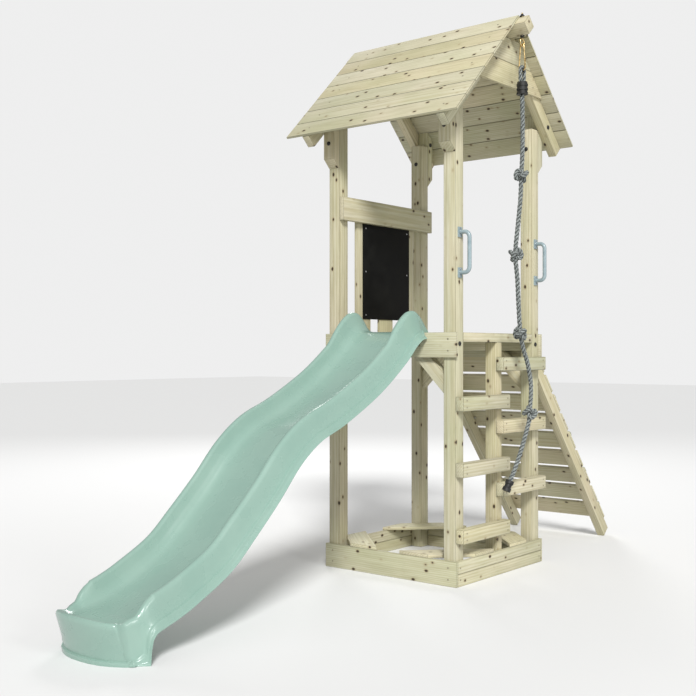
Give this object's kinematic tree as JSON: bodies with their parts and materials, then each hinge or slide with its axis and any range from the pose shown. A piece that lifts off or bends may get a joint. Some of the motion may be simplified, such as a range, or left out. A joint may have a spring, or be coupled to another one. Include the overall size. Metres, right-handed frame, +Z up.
{
  "type": "play tower with climbing wall",
  "caption": "Timber play tower with a sloping climbing ramp with holds, ladder, wave slide, pitched roof, chalkboard, sandpit base and a knotted climbing rope on a snap hook",
  "frame": {"origin": "on the ground, at the middle of the footprint of all solid pieces but the rope", "axes": "+X towards the ladder side, +Y towards the climbing ramp, slide runs to -Y, +Z up"},
  "size_m": [1.12, 3.6352, 2.777],
  "materials": {
    "treated_pine": "pressure-treated softwood, pale yellow-green, planed, with knots",
    "mint_plastic": "moulded polyethylene, soft sheen",
    "handle_plastic": "moulded plastic, pale",
    "hold_stone": "sanded resin, rough like stone",
    "chalkboard_black": "matt black writing surface",
    "black_plastic": "moulded black plastic",
    "yellow_zinc": "yellow-passivated zinc plating",
    "bright_steel": "zinc-plated",
    "timber_screw": "coated screw head",
    "rope_fibre": "three-strand laid fibre rope"
  },
  "bodies": {
    "tower": {"corner_posts": "treated_pine", "base_front_board": "treated_pine", "base_back_boards": "treated_pine", "base_side_boards": "treated_pine", "corner_seats": "treated_pine", "deck_cross_beams": "treated_pine", "deck_side_beams": "treated_pine", "deck_joist": "treated_pine", "deck_planks": "treated_pine", "deck_fascias": "treated_pine", "knee_braces": "treated_pine", "ladder_post": "treated_pine", "ladder_rungs_near_slide": "treated_pine", "ladder_rungs_near_ramp": "treated_pine", "ramp_stringers": "treated_pine", "ramp_slats": "treated_pine", "climbing_holds": "hold_stone", "hold_bolts": "bright_steel", "chalkboard_rail": "treated_pine", "chalkboard_battens": "treated_pine", "chalkboard": "chalkboard_black", "chalkboard_screws": "bright_steel", "roof_beam": "treated_pine", "rafters": "treated_pine", "roof_legs": "treated_pine", "gable_lower_boards": "treated_pine", "gable_upper_boards": "treated_pine", "roof_slope_slide_side": "treated_pine", "roof_slope_ramp_side": "treated_pine", "slide_chute": "mint_plastic", "slide_screws": "bright_steel", "grab_handles": "handle_plastic", "handle_screws": "bright_steel", "deck_bolts": "black_plastic", "leg_bolts": "black_plastic", "rafter_bolts": "black_plastic", "board_screws": "timber_screw", "rung_screws": "timber_screw", "slat_screws": "timber_screw", "roof_screws": "timber_screw", "eye_bolt": "yellow_zinc", "eye_bolt_nuts": "black_plastic"},
    "rope_hook": {"snap_hook": "yellow_zinc", "gate_pin": "bright_steel"},
    "hook_gate_arm": {"hook_gate": "yellow_zinc"},
    "climbing_rope": {"rope_thimble": "black_plastic", "rope_loop": "rope_fibre", "rope_collar": "black_plastic", "rope": "rope_fibre", "rope_knots": "rope_fibre", "rope_end_clamp": "black_plastic"}
  },
  "joints": [
    {"name": "hook_swing", "type": "hinge", "parent": "tower", "child": "rope_hook", "pos_m": [0.52, 0.4424, 2.63183], "axis": [1, 0, 0], "range_deg": [-25, 25]},
    {"name": "rope_swing", "type": "hinge", "parent": "rope_hook", "child": "climbing_rope", "pos_m": [0.52, 0.4424, 2.50963], "axis": [0, -1, 0], "range_deg": [-0.6, 35]},
    {"name": "gate_hinge", "type": "hinge", "parent": "rope_hook", "child": "hook_gate_arm", "pos_m": [0.53641, 0.4424, 2.51878], "axis": [0, -1, 0], "range_deg": [0, 8], "stiffness_Nm_per_rad": 0.05, "springref_deg": -11.46}
  ]
}
